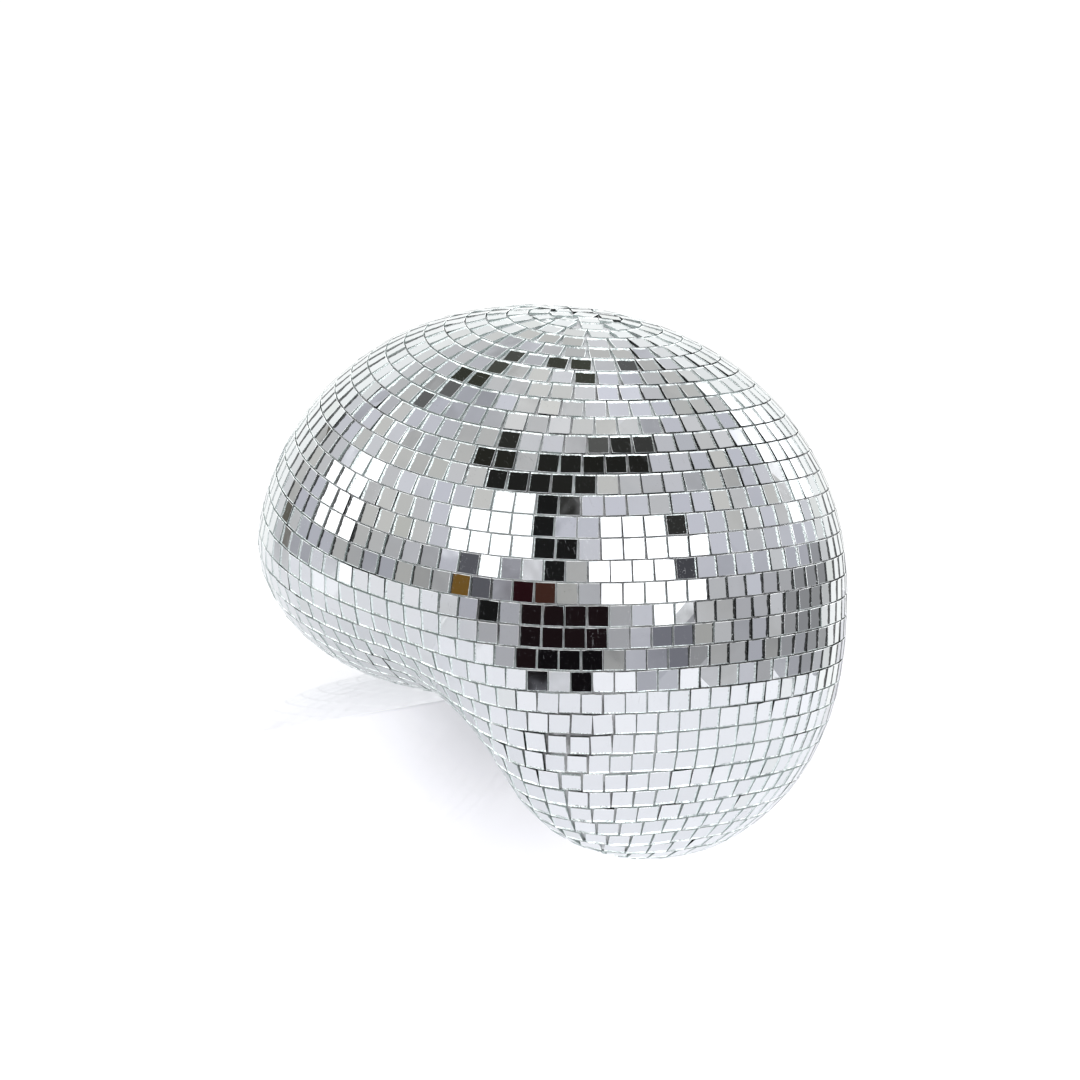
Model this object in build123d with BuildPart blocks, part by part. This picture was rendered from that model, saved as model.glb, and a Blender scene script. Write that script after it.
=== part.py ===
from build123d import *
from dataclasses import dataclass
import math
import os

import numpy as np

# Melted mirror ball that rests on a shelf and droops over the shelf's edge.
# Millimetres, +Z up. The origin is the centre of the flat seat face under the
# rear lobe. -Y is the front (the drooping side), +X is the right-hand side.

os.makedirs("parts", exist_ok=True)

# ---- melted surface ------------------------------------------------------
NOTCH_Y = -38.0        # vertical plane of the shelf-edge notch
BALL_Y = -6.2          # centre of the ball, in Y
BALL_Z = 47.96         # centre of the ball, above the shelf
SEMI_X = 135.8         # half width of the ball
SEMI_FRONT = 164.1     # reach of the ball forwards
SEMI_REAR = 145.7      # reach of the ball backwards
SEMI_BELOW = 144.2     # reach of the ball downwards
SEMI_ABOVE = 140.3     # reach of the ball upwards
ROUND_PLAN = 2.03      # roundness exponent in plan, 2 is an ellipse
ROUND_ABOVE = 2.14     # roundness exponent of the upper half
ROUND_BELOW = 2.42     # roundness exponent of the lower half
FLARE_R = 81.6         # radius that blends the ball into the seat and the notch
NOTCH_R_MID = 10.0     # radius inside the notch at its middle
NOTCH_R_SIDE = 35.0    # radius inside the notch at its two open ends
NOTCH_MID_HALF = 22.0  # the middle radius holds this far to each side
NOTCH_RAMP = 48.0      # width in X over which the radius then grows

# ---- mirror tiles --------------------------------------------------------
TILE = 10.0            # mirror tile, square
TILE_T = 1.5           # tile glass thickness
GLUE = 0.15            # adhesive bed under a tile
ROW_PITCH = 10.55      # from one row of tiles to the next
TILE_PITCH = 10.42     # from one tile to the next within a row
TILE_GAP = 0.06        # least gap between two tiles
SHELL_GAP = 0.06       # least gap between a tile's back and the shell
POLE_CAP = 7.06        # arc from the pole to the first row
POLE_Y = -38.1         # the tile pattern's pole, on top
POLE_TURN = math.radians(24)
N_ROWS = 46            # rows counted down from the pole

N_PATHS = 1440         # paths that run out from the pole
PATH_STEP = 1.0        # step along a path

# hand-laying errors
SPACING_ERROR = 0.07
TURN_ERROR = math.radians(0.5)
TIP_ERROR = math.radians(0.75)
TIP_LIMIT = 0.03

# ways to lay a tile in a row, in order of preference:
# width, height, share of the laying error kept
ROW_TRIES = (
    (TILE, TILE, 1), (TILE, TILE, 0.3), (TILE, TILE, 0),
    (TILE - 0.5, TILE, 0), (TILE - 0.4, TILE - 0.6, 0),
    (TILE - 1.2, TILE - 0.4, 0), (TILE - 1.5, TILE - 1.5, 0),
    (TILE - 3, TILE - 1, 0), (TILE - 1, TILE - 3, 0), (TILE - 3.5, TILE - 3.5, 0),
)

# cut tiles for the open patches, largest first: width, height
FILL_SIZES = (
    (10.0, 10.0), (10.0, 7.0), (7.0, 10.0), (7.0, 7.0), (10.0, 4.5),
    (4.5, 10.0), (7.0, 4.5), (4.5, 7.0), (4.5, 4.5),
)
FILL_GRID = 2.6                                        # spacing of the candidate points
FILL_SPANS = ((-140, 141), (-176, 144), (-84, 194))    # their range in X, Y and Z
FILL_CLEAR = 6.6       # candidates lie further than this from the row tiles' centres
FILL_MAX_LIFT = 0.9    # a fill tile that needs more lift is left out

# ---- shell, band, seat and ballast ----------------------------------------
SKIN = TILE_T + GLUE   # from the mirror surface down to the shell
SHELL_T = 4.0          # wall of the moulded shell
FLOOR = SKIN + SHELL_T           # inner face of the shell over the seat
N_SECTIONS = 13        # outlines in each half shell
N_OUTLINE = 128        # points in each outline

BAND_T = 3.0           # wall of the joining band inside the seam
BAND_HALF = 14.0       # half width of the joining band
BOND_GAP = 0.1         # bond line between band and shell

PAD_X, PAD_Y, PAD_R = 66.0, 44.0, 18.0               # non-slip seat pad
PAD_CHAMFER = 0.4

BALLAST_X, BALLAST_Y, BALLAST_H = 70.0, 100.0, 30.0  # upper part of the cast block
BALLAST_BACK = 42.0    # centre of the upper part in Y, set back over the curving floor
FOOT_X, FOOT_Y, FOOT_H = 62.0, 40.0, 18.0            # foot of the block on the floor
FOOT_OVERLAP = 5.0     # the foot runs this far up into the upper part
BALLAST_CORNER_R = 8.0
BALLAST_CHAMFER = 2.0

SCREW_X = 21.0         # ballast screws, off the seam
SCREW_R, SCREW_HEAD_R = 3.0, 5.6
SCREW_TIP = SKIN + 26.0          # height of the screw's tip
SCREW_TIP_CHAMFER = 1.0
SCREW_CONE = SCREW_HEAD_R - SCREW_R      # height of the 45 degree head
SCREW_CLEAR = 0.3      # radial clearance in the shell
TAP_CLEAR = 0.05       # radial clearance in the ballast
TAP_DEPTH = 28.0
SOCKET_R, SOCKET_TOP = 2.3, 2.2          # hexagon socket and its height above SKIN


# ---- the melted surface as a field -----------------------------------------
def melt(p):
    """Near to the distance from the mirror surface: negative inside."""
    x = p[..., 0]
    y = p[..., 1]
    z = p[..., 2]
    dy = y - BALL_Y
    dz = z - BALL_Z
    semi_y = np.where(dy < 0, SEMI_FRONT, SEMI_REAR)
    semi_z = np.where(dz < 0, SEMI_BELOW, SEMI_ABOVE)
    power = np.where(dz < 0, ROUND_BELOW, ROUND_ABOVE)
    plan = (np.abs(x / SEMI_X) ** ROUND_PLAN
            + np.abs(dy / semi_y) ** ROUND_PLAN) ** (1 / ROUND_PLAN) + 1e-9
    scale = (plan ** power + np.abs(dz / semi_z) ** power) ** (1 / power) + 1e-9
    radius = np.sqrt(x * x + dy * dy + dz * dz) + 1e-9
    ball = (scale - 1) * radius / scale
    # the shelf's quadrant, with the inner corner of the notch rounded
    t = np.clip((np.abs(x) - NOTCH_MID_HALF) / NOTCH_RAMP, 0, 1)
    notch_r = NOTCH_R_MID + (NOTCH_R_SIDE - NOTCH_R_MID) * t * t * (3 - 2 * t)
    u = -(y - NOTCH_Y) + notch_r
    v = z + notch_r
    shelf = np.where((u > 0) & (v > 0),
                     np.sqrt(np.maximum(u, 0) ** 2 + np.maximum(v, 0) ** 2) - notch_r,
                     np.maximum(u, v) - notch_r)
    # cut the shelf from the ball with a flared edge
    u = ball + FLARE_R
    v = -shelf + FLARE_R
    return np.where((u > 0) & (v > 0),
                    np.sqrt(np.maximum(u, 0) ** 2 + np.maximum(v, 0) ** 2) - FLARE_R,
                    np.maximum(ball, -shelf))


def slope(p, reach=0.02):
    """Gradient of the field by central differences."""
    gradient = np.empty(p.shape)
    for i in range(3):
        d = np.zeros(3)
        d[i] = reach
        gradient[..., i] = (melt(p + d) - melt(p - d)) / (2 * reach)
    return gradient


def onto(p, steps=3):
    """Move points onto the mirror surface."""
    for _ in range(steps):
        g = slope(p)
        p = p - (melt(p) / np.maximum((g * g).sum(-1), 1e-9))[..., None] * g
    return p


def unit(v):
    return v / np.maximum(np.linalg.norm(v, axis=-1, keepdims=True), 1e-12)


def crossing(point_at, low, high, level=0.0, halvings=60):
    """Where a line of points, inside at low and outside at high, meets the level."""
    for _ in range(halvings):
        middle = (low + high) / 2
        if melt(np.array(point_at(middle))) < level:
            low = middle
        else:
            high = middle
    return low


# ---- cross-sections of the shell -------------------------------------------
def side_tip(level):
    """The point where the surface reaches furthest to the right."""
    y, z = BALL_Y, BALL_Z + 20.0
    for _ in range(60):
        x = crossing(lambda reach: [reach, y, z], 60.0, 200.0, level, halvings=50)
        g = slope(np.array([x, y, z]))
        y -= 90 * g[1] / g[0]
        z -= 90 * g[2] / g[0]
    return x, y, z


_, TIP_Y, TIP_Z = side_tip(-SKIN)


def section_slope(p):
    """Gradient within the plane of constant x."""
    g = slope(p)
    g[..., 0] = 0
    return g


def section_heading(p):
    """Direction along the outline, backwards over the top."""
    g = section_slope(p)
    n = g / np.linalg.norm(g)
    return np.array([0, n[2], -n[1]])


def section_points(x, level):
    """Closed outline, in (x, y, z), of the surface at one x, from its top."""
    top = crossing(lambda z: [x, TIP_Y, z], TIP_Z, TIP_Z + 200.0, level)
    p = np.array([x, TIP_Y, top])
    walk = [p]
    step = 0.8
    walked = 0.0
    while walked < 2000:
        heading = section_heading(p + section_heading(p) * step / 2)
        p = p + heading * step
        for _ in range(2):
            g = section_slope(p)
            p = p - (melt(p) - level) / (g @ g) * g
        walked += step
        back_at_start = (np.linalg.norm(p - walk[0]) < step * 1.05
                         and (walk[0] - p) @ heading < step)
        if len(walk) > 8 and back_at_start:
            break
        walk.append(p)
    walk = np.array(walk + [walk[0]])
    lengths = np.linalg.norm(np.diff(walk, axis=0), axis=1)
    # points crowd together at the notch's tight inner corner
    middles = (walk[1:] + walk[:-1]) / 2
    near = np.exp(-((middles[:, 1] - NOTCH_Y) ** 2 + (middles[:, 2]) ** 2) / (2 * 28.0 ** 2))
    weight = np.concatenate([[0], np.cumsum(lengths * (1 + 2.2 * near))])
    stations = np.linspace(0, weight[-1], N_OUTLINE + 1)[:-1]
    y = np.interp(stations, weight, walk[:, 1])
    z = np.interp(stations, weight, walk[:, 2])
    outline = np.stack([np.full_like(y, x), y, z], -1)
    for _ in range(3):
        g = section_slope(outline)
        outline = outline - ((melt(outline) - level) / (g * g).sum(-1))[:, None] * g
    return outline


def section_face(x, level):
    """One outline as a smooth face; every outline has the same knots."""
    points = section_points(x, level)
    edge = Edge.make_spline([Vector(*q) for q in points], periodic=True,
                            parameters=[i / len(points) for i in range(len(points) + 1)])
    return Face(Wire([edge]))


def half_sections(level):
    """Loft sections from the seam at x = 0 out to the side, evenly round the curve."""
    tip = side_tip(level)
    angles = np.linspace(0, math.pi / 2, N_SECTIONS + 1)[:-1]
    return [*[section_face(tip[0] * math.sin(a), level) for a in angles], Vertex(*tip)]


# ---- half shells -------------------------------------------------------------
with BuildPart() as shell_right:
    loft(half_sections(-SKIN))
    loft(half_sections(-FLOOR), mode=Mode.SUBTRACT)
    # countersunk clearance for one ballast screw, through the floor over the seat
    head_edge = SCREW_X + SCREW_HEAD_R + SCREW_CLEAR
    shank_edge = SCREW_X + SCREW_R + SCREW_CLEAR
    with BuildSketch(Plane.XZ):
        with BuildLine():
            Polyline((SCREW_X, SKIN - 0.5), (head_edge, SKIN - 0.5), (head_edge, SKIN + 0.5),
                     (shank_edge, SKIN + 0.5 + SCREW_CONE),
                     (shank_edge, FLOOR + 1), (SCREW_X, FLOOR + 1), close=True)
        make_face()
    revolve(axis=Axis((SCREW_X, 0, 0), (0, 0, 1)), mode=Mode.SUBTRACT)

with BuildPart() as shell_left:
    mirror(shell_right.part, about=Plane.YZ)

# ---- band that joins the two half shells, glued inside the seam ---------------
BAND_LEVEL = -FLOOR - BOND_GAP
with BuildPart() as seam_band:
    loft([section_face(x, BAND_LEVEL) for x in (-BAND_HALF, 0.0, BAND_HALF)])
    loft([section_face(x, BAND_LEVEL - BAND_T) for x in (-BAND_HALF - 1, 0.0, BAND_HALF + 1)],
         mode=Mode.SUBTRACT)

# ---- seat pad ------------------------------------------------------------------
with BuildPart() as seat_pad:
    with BuildSketch(Plane.XY):
        RectangleRounded(PAD_X, PAD_Y, PAD_R)
    extrude(amount=SKIN)
    chamfer(seat_pad.edges().group_by(Axis.Z)[0], PAD_CHAMFER)

# ---- cast ballast in the rear lobe ------------------------------------------------
with BuildPart() as ballast_block:
    with BuildSketch(Plane.XY.offset(FLOOR)):
        RectangleRounded(FOOT_X, FOOT_Y, BALLAST_CORNER_R)
    extrude(amount=FOOT_H + FOOT_OVERLAP)
    with BuildSketch(Plane.XY.offset(FLOOR + FOOT_H)):
        with Locations((0, BALLAST_BACK)):
            RectangleRounded(BALLAST_X, BALLAST_Y, BALLAST_CORNER_R)
    extrude(amount=BALLAST_H)
    chamfer(ballast_block.edges().group_by(Axis.Z)[-1], BALLAST_CHAMFER)
    # channel that clears the joining band
    with BuildSketch(Plane.XY.offset(FLOOR)):
        Rectangle(2 * BAND_HALF + 1.2, FOOT_Y + 2)
    extrude(amount=BAND_T + 0.6, mode=Mode.SUBTRACT)
    # tapped holes for the screws
    with BuildSketch(Plane.XY.offset(FLOOR)):
        with Locations((SCREW_X, 0), (-SCREW_X, 0)):
            Circle(SCREW_R + TAP_CLEAR)
    extrude(amount=TAP_DEPTH, mode=Mode.SUBTRACT)

# ---- countersunk ballast screws, heads down ----------------------------------------
with BuildPart() as ballast_screws:
    for x in (SCREW_X, -SCREW_X):
        with BuildSketch(Plane.XZ):
            with BuildLine():
                Polyline((x, SKIN + 0.1), (x + SCREW_HEAD_R, SKIN + 0.1),
                         (x + SCREW_HEAD_R, SKIN + 0.6),
                         (x + SCREW_R, SKIN + 0.6 + SCREW_CONE),
                         (x + SCREW_R, SCREW_TIP - SCREW_TIP_CHAMFER),
                         (x + SCREW_R - SCREW_TIP_CHAMFER, SCREW_TIP),
                         (x, SCREW_TIP), close=True)
            make_face()
        revolve(axis=Axis((x, 0, 0), (0, 0, 1)))
    # hexagon sockets
    with BuildSketch(Plane.XY.offset(SKIN)):
        with Locations((SCREW_X, 0), (-SCREW_X, 0)):
            RegularPolygon(SOCKET_R, 6)
    extrude(amount=SOCKET_TOP, mode=Mode.SUBTRACT)


# ---- paths from the pole --------------------------------------------------------------
# Straight paths run over the surface from the pole in every direction. Points
# the same distance along them form a row, so rows keep one even pitch.
def pole_frame():
    """The pole, the surface normal there and two directions along the surface."""
    top = crossing(lambda z: [0.0, POLE_Y, z], BALL_Z, 400.0)
    pole = np.array([0.0, POLE_Y, top])
    normal = unit(slope(pole))
    along = unit(np.array([1.0, 0, 0]) - normal[0] * normal)
    return pole, normal, along, np.cross(normal, along)


def paths_from_pole():
    """Points on all paths: [steps, paths, 3]."""
    pole, _, along, across = pole_frame()
    angles = np.linspace(0, 2 * math.pi, N_PATHS, endpoint=False)
    heading = np.cos(angles)[:, None] * along + np.sin(angles)[:, None] * across
    p = np.repeat(pole[None], N_PATHS, 0)
    stages = [p]
    total = POLE_CAP + ROW_PITCH * (N_ROWS + 1)
    for _ in range(int(total / PATH_STEP)):
        p = onto(p + heading * PATH_STEP, steps=1)
        n = unit(slope(p))
        p = p - (melt(p))[:, None] * n
        heading = unit(heading - (heading * n).sum(-1, keepdims=True) * n)
        stages.append(p)
    return np.stack(stages)


PATHS = paths_from_pole()


def row_curve(distance):
    """Points on all paths at one distance from the pole."""
    k = distance / PATH_STEP
    i = min(int(k), len(PATHS) - 2)
    part = k - i
    return PATHS[i] * (1 - part) + PATHS[i + 1] * part


def on_curve(curve, path):
    """The point of a row curve at a fractional path number."""
    path = path % N_PATHS
    i = int(path)
    part = path - i
    return curve[i] * (1 - part) + curve[(i + 1) % N_PATHS] * part


def to_next(curve):
    """Steps from each path to the next round a row curve."""
    return np.roll(curve, -1, 0) - curve


# ---- one tile ---------------------------------------------------------------------------
@dataclass
class Tile:
    centre: np.ndarray     # middle of the mirror face
    along: np.ndarray      # unit direction of the width
    across: np.ndarray     # unit direction of the height
    normal: np.ndarray     # outwards
    width: float = TILE
    height: float = TILE

    def points(self, sides, levels):
        return np.array([self.centre + a * self.along * self.width / 2
                         + b * self.across * self.height / 2 + level * self.normal
                         for a in sides for b in sides for level in levels])

    def corners(self):
        return self.points((-1, 1), (0, -TILE_T))

    def dig(self):
        """How far the back must rise to clear the shell."""
        return (-SKIN + SHELL_GAP) - melt(self.points((-1, 0, 1), (-TILE_T,))).min()

    def lift(self, dig):
        if dig > 0:
            self.centre = self.centre + dig * self.normal

    def location(self):
        origin = self.centre - self.normal * TILE_T / 2
        return Plane(origin=Vector(*origin), x_dir=Vector(*self.along),
                     z_dir=Vector(*self.normal)).location


def tiles_clash(first, second):
    """Separating-axis test of two tiles, with a small gap kept between them."""
    first_axes = (first.along, first.across, first.normal)
    second_axes = (second.along, second.across, second.normal)
    axes = [*first_axes, *second_axes]
    for a in first_axes:
        for b in second_axes:
            v = np.cross(a, b)
            size = np.linalg.norm(v)
            if size > 1e-3:
                axes.append(v / size)
    axes = np.array(axes)
    p, q = first.corners() @ axes.T, second.corners() @ axes.T
    apart = np.maximum(q.min(0) - p.max(0), p.min(0) - q.max(0))
    return apart.max() < TILE_GAP


def on_seat(p):
    """Inside the bare area left for the seat pad and its rim."""
    x, y, z = p[..., 0], p[..., 1], p[..., 2]
    return (z < 3.0) & (np.abs(x) < PAD_X / 2 + 6.5) & (np.abs(y) < PAD_Y / 2 + 6.5) & \
        ((x / (PAD_X / 2 + 8)) ** 4 + (y / (PAD_Y / 2 + 8)) ** 4 < 1.35)


def hits_shelf(tile):
    """A tile must not pass below the seat's level behind the notch."""
    c = tile.corners()
    return ((c[:, 2] < -0.05) & (c[:, 1] > NOTCH_Y + 13.0)).any()


# ---- placed tiles, kept in a grid of cells for quick look-up --------------------------------
CELL = 16.0
placed = []
grid = {}


def cell(p):
    return tuple((p // CELL).astype(int))


def place(tile):
    placed.append(tile)
    grid.setdefault(cell(tile.centre), []).append(tile)


def neighbours(p):
    x, y, z = cell(p)
    for i in (-1, 0, 1):
        for j in (-1, 0, 1):
            for k in (-1, 0, 1):
                yield from grid.get((x + i, y + j, z + k), ())


def fits(tile):
    for other in neighbours(tile.centre):
        close = np.linalg.norm(other.centre - tile.centre) < 14.5
        if close and tiles_clash(tile, other):
            return False
    return True


# ---- rows of tiles ------------------------------------------------------------------------
rng = np.random.default_rng(20240607)


def row_tile(curve, start, end, width, height, turn, tips):
    """One tile between two fractional path numbers of a row."""
    centre = on_curve(curve, (start + end) / 2)
    n = unit(slope(centre))
    along = on_curve(curve, end) - on_curve(curve, start)
    along = unit(along - (along @ n) * n)
    across = np.cross(n, along)
    # small errors of hand laying: a turn in its plane and a tip out of it
    cos, sin = math.cos(turn), math.sin(turn)
    along, across = cos * along + sin * across, -sin * along + cos * across
    n = unit(n + tips[0] * along + tips[1] * across)
    along = unit(along - (along @ n) * n)
    # the middle of the glass face lies on the mirror surface
    tile = Tile(onto(centre, steps=1), along, np.cross(n, along), n, width, height)
    tile.lift(tile.dig())
    return tile


def lay_row(number, alive):
    """Lay one row; alive marks the usable paths and is updated."""
    start = POLE_CAP + (number - 1) * ROW_PITCH
    margin = (ROW_PITCH - TILE) / 2
    top = row_curve(start + margin)
    middle = row_curve(start + ROW_PITCH / 2)
    bottom = row_curve(start + ROW_PITCH - margin)
    # paths that have crossed their neighbours no longer count
    top_step, middle_step, bottom_step = to_next(top), to_next(middle), to_next(bottom)
    downwards = np.cross(unit(slope(middle)), middle_step)
    alive &= (downwards * (bottom - top)).sum(-1) * ROW_SIGN > 0
    alive &= (top_step * middle_step).sum(-1) > 0
    alive &= (bottom_step * middle_step).sum(-1) > 0
    top_len, middle_len, bottom_len = (
        np.linalg.norm(v, axis=-1) for v in (top_step, middle_step, bottom_step))
    pace = np.where(alive, np.minimum(np.minimum(top_len, bottom_len), middle_len), 0)
    run = np.concatenate([[0], np.cumsum(pace)])
    total = run[-1]
    count = int(total / TILE_PITCH)
    if count < 3:
        return []
    # a whole ring spreads its tiles evenly
    pitch = total / count if alive.all() else TILE_PITCH
    offset = rng.uniform(0, pitch)
    tiles = []
    for i in range(count):
        left = offset + i * pitch + rng.normal(0, SPACING_ERROR)
        right = left + TILE
        first, last = np.interp([left % total, right % total], run, np.arange(N_PATHS + 1))
        if last < first:
            last += N_PATHS
        if last - first > N_PATHS / 3:
            continue
        halfway = int(((first + last) / 2)) % N_PATHS
        if not (alive[int(first) % N_PATHS] and alive[halfway] and alive[int(last) % N_PATHS]):
            continue
        spot = middle[halfway]
        if on_seat(spot):
            continue
        # tiles are laid less neatly low on the front lobe
        rough = 2.2 if spot[1] < -60 and spot[2] < 6 else 1.0
        turn = rng.normal(0, TURN_ERROR) * rough
        tips = np.clip(rng.normal(0, TIP_ERROR, 2) * min(rough, 1.5), -TIP_LIMIT, TIP_LIMIT)
        for width, height, share in ROW_TRIES:
            tile = row_tile(middle, first, last, width, height, turn * share, tips * share)
            if not hits_shelf(tile) and fits(tile):
                tiles.append(tile)
                place(tile)
                break
    return tiles


def row_sign():
    """Which way round the rows run, judged on a row near the pole."""
    curve = row_curve(60.0)
    outwards = row_curve(62.0) - row_curve(58.0)
    turned = np.cross(unit(slope(curve)), to_next(curve))
    return 1.0 if (turned * outwards).sum() > 0 else -1.0


ROW_SIGN = row_sign()
alive_paths = np.ones(N_PATHS, bool)
tile_groups = {}
for number in range(1, N_ROWS + 1):
    row = lay_row(number, alive_paths)
    if row:
        tile_groups[f"mirror_row_{number:02d}"] = row


# ---- pole tile, in the middle of the first row ------------------------------------------------
def make_pole_tile():
    pole, normal, along, across = pole_frame()
    cos, sin = math.cos(POLE_TURN), math.sin(POLE_TURN)
    return Tile(pole, cos * along + sin * across, -sin * along + cos * across, normal)


pole_tile = make_pole_tile()
place(pole_tile)
tile_groups["mirror_pole_tile"] = [pole_tile]


# ---- fill tiles ---------------------------------------------------------------------------------
# Smaller cut tiles fill the patches that whole rows leave open: round the seat,
# along the notch and where the rows meet under the front lobe.
def open_points():
    """Shuffled points of the surface that lie clear of all tiles and the seat."""
    spans = [np.arange(low, high, FILL_GRID) for low, high in FILL_SPANS]
    box = np.stack(np.meshgrid(*spans, indexing="ij"), -1).reshape(-1, 3)
    near = onto(box[np.abs(melt(box)) < 1.7])
    centres = np.array([tile.centre for tile in placed])
    # in batches, to limit memory
    gap = np.concatenate([np.sqrt(((part[:, None] - centres[None]) ** 2).sum(-1)).min(1)
                          for part in np.array_split(near, 1 + len(near) // 2000)])
    near = near[(gap > FILL_CLEAR) & ~on_seat(near)]
    return near[rng.permutation(len(near))]


def lay_fill():
    candidates = open_points()
    tiles = []
    for width, height in FILL_SIZES:
        for p in candidates:
            close = list(neighbours(p))
            away = [np.linalg.norm(other.centre - p) for other in close]
            if away and min(away) < (min(width, height) + 4.0) / 2 + 0.3:
                continue
            # line up with the nearest tile
            n = unit(slope(p))
            lead = close[int(np.argmin(away))].along if away else np.array([1.0, 0.0, 0.0])
            along = unit(lead - (lead @ n) * n)
            tile = Tile(p, along, np.cross(n, along), n, width, height)
            dig = tile.dig()
            if dig > FILL_MAX_LIFT:
                continue
            tile.lift(dig)
            if hits_shelf(tile) or on_seat(tile.corners()).any() or not fits(tile):
                continue
            tiles.append(tile)
            place(tile)
    return tiles


tile_groups["mirror_fill"] = lay_fill()


# ---- solids and export ------------------------------------------------------------------------
def glass(tiles):
    """A set of separate glass tiles."""
    with BuildPart() as glass_set:
        for width, height in sorted({(t.width, t.height) for t in tiles}):
            with Locations(*[t.location() for t in tiles
                             if (t.width, t.height) == (width, height)]):
                Box(width, height, TILE_T)
    return glass_set


pieces = {name: glass(tiles) for name, tiles in tile_groups.items()}
pieces["shell_left"] = shell_left
pieces["shell_right"] = shell_right
pieces["seam_band"] = seam_band
pieces["seat_pad"] = seat_pad
pieces["ballast_block"] = ballast_block
pieces["ballast_screws"] = ballast_screws

for name, piece in pieces.items():
    piece.part.label = name
    export_step(piece.part, f"parts/{name}.step")
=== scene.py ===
# A mirror-tiled ornament that sits over the front edge of a shelf: a moulded shell in two
# halves covered with small glass tiles, a seam band, a screwed ballast block and a rubber pad.
# Metres, +Z up. The shelf's top is z = 0 and its front face looks towards -Y; part of the
# ornament hangs below that top, in front of the shelf. The camera looks from -X, -Y.
import math

import bmesh
import bpy
import numpy as np
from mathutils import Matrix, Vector
from mathutils.bvhtree import BVHTree


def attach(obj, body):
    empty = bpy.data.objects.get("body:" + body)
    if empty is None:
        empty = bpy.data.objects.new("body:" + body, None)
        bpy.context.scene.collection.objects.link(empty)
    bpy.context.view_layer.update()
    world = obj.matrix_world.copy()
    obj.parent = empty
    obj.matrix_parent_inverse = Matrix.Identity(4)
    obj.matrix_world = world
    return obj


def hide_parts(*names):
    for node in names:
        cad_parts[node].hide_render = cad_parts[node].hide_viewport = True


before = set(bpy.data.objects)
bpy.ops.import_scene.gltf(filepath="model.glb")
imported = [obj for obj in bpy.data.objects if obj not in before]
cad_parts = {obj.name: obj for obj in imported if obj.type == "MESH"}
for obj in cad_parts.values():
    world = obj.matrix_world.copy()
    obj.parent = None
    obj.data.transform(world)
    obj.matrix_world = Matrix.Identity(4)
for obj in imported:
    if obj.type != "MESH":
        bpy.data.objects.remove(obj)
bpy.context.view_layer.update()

MM = 0.001
ROOT = "root"
ROUGH_PATCH = (-0.087, -0.118, -0.014)   # where the tile sheet bends sharply
ROUGH_SIZE = 0.036                       # how far its disorder reaches
GLASS_IOR = 1.52
rng = np.random.default_rng(41)


def add_object(name, data):
    item = bpy.data.objects.new(name, data)
    bpy.context.scene.collection.objects.link(item)
    return item


def rgb(r, g, b):
    return (r, g, b, 1.0)


# ------------------------------------------------------------------ node helpers
class Tree:
    """Short ways to add nodes; most return the new node's output socket."""

    def __init__(self, node_tree):
        self.node_tree = node_tree
        node_tree.nodes.clear()

    def node(self, kind, **settings):
        node = self.node_tree.nodes.new("ShaderNode" + kind)
        for name, value in settings.items():
            setattr(node, name, value)
        return node

    def fill(self, node, values):
        """Link or set inputs, given by name or index, and return the outputs."""
        for key, value in values.items():
            if isinstance(value, bpy.types.NodeSocket):
                self.node_tree.links.new(value, node.inputs[key])
            elif value is not None:
                node.inputs[key].default_value = value
        return node.outputs

    def surface(self, values):
        """Set inputs of the material's shader."""
        self.fill(self.shader, values)

    def math(self, operation, *values, clamp=False):
        node = self.node("Math", operation=operation, use_clamp=clamp)
        return self.fill(node, dict(enumerate(values)))[0]

    def add(self, a, b, clamp=False):
        return self.math("ADD", a, b, clamp=clamp)

    def mul(self, a, b):
        return self.math("MULTIPLY", a, b)

    def vector(self, operation, *values, scale=None):
        node = self.node("VectorMath", operation=operation)
        outputs = self.fill(node, {**dict(enumerate(values)), "Scale": scale})
        return outputs["Value" if operation in ("DOT_PRODUCT", "LENGTH") else "Vector"]

    def dot(self, a, b):
        return self.vector("DOT_PRODUCT", a, b)

    def split(self, vector):
        return self.fill(self.node("SeparateXYZ"), {0: vector})

    def attribute(self, name, output="Vector"):
        return self.node("Attribute", attribute_name=name).outputs[output]

    def ramp(self, value, over, to=(0.0, 1.0), smooth=True):
        node = self.node("MapRange", interpolation_type="SMOOTHSTEP" if smooth else "LINEAR")
        return self.fill(node, {"Value": value, "From Min": over[0], "From Max": over[1],
                                "To Min": to[0], "To Max": to[1]})["Result"]

    def mix(self, factor, a, b, blend="MIX"):
        node = self.node("Mix", data_type="RGBA", blend_type=blend)
        return self.fill(node, {0: factor, 6: a, 7: b})[2]

    def noise(self, vector, scale, detail, rough, distortion=0.0):
        return self.fill(self.node("TexNoise"), {
            "Vector": vector, "Scale": scale, "Detail": detail,
            "Roughness": rough, "Distortion": distortion})["Fac"]

    def stretch(self, vector, scale, rotation=None):
        return self.fill(self.node("Mapping"), {
            "Vector": vector, "Scale": scale, "Rotation": rotation})[0]

    def bump(self, height, strength, distance, normal=None):
        return self.fill(self.node("Bump"), {"Height": height, "Strength": strength,
                                             "Distance": distance, "Normal": normal})["Normal"]


def material(name):
    """A new material, its tree and its object coordinates."""
    mat = bpy.data.materials.new(name)
    mat.use_nodes = True
    tree = Tree(mat.node_tree)
    output = tree.node("OutputMaterial")
    tree.shader = tree.node("BsdfPrincipled")
    tree.fill(output, {0: tree.shader.outputs[0]})
    return mat, tree, tree.node("TexCoord").outputs["Object"]


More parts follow.
